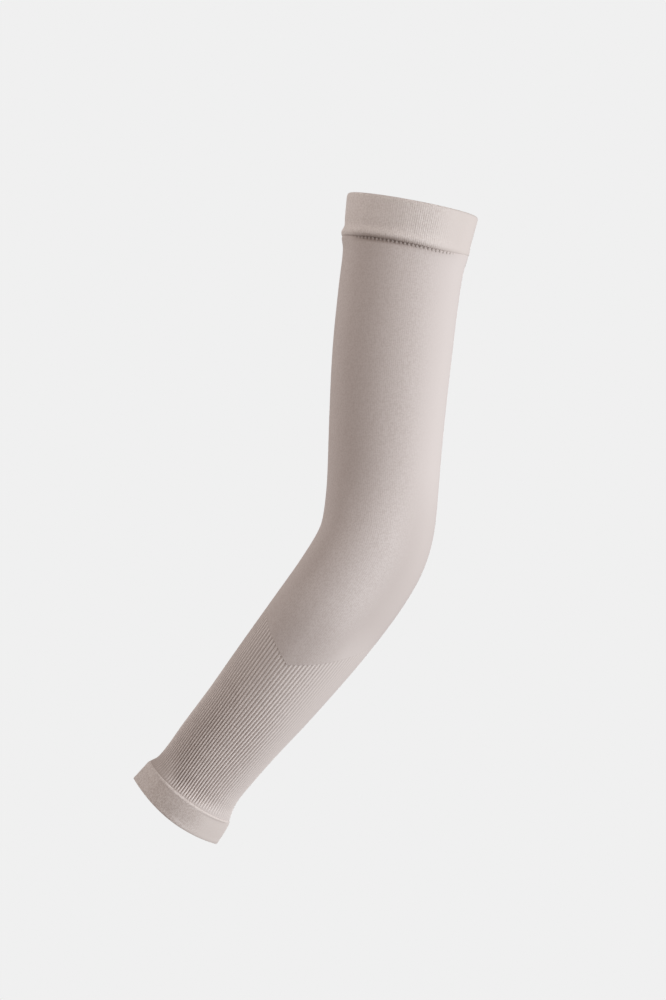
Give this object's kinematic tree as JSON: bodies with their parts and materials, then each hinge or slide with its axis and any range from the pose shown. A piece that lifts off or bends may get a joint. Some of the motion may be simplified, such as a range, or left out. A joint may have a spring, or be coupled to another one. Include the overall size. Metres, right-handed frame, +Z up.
{
  "type": "arm sleeve",
  "caption": "Seamless knitted arm sleeve in its worn, slightly bent form, with a doubled upper cuff, a plain body, a ribbed forearm that starts along a V, and a doubled wrist cuff.",
  "frame": {"origin": "centre of the upper opening, where the upper arm goes in", "axes": "+Z up, out of the upper opening; the forearm leans towards -X; -Y is the side with the point of the V that the picture shows"},
  "size_m": [0.2219, 0.0873, 0.4194],
  "materials": {
    "cuff_knit": "matte fine knit, doubled",
    "plain_knit": "matte fine plain knit",
    "rib_knit": "matte rib knit"
  },
  "bodies": {
    "root": {"upper_cuff": "cuff_knit", "sleeve_body": "plain_knit", "ribbed_forearm": "rib_knit", "wrist_cuff": "cuff_knit"}
  },
  "joints": []
}
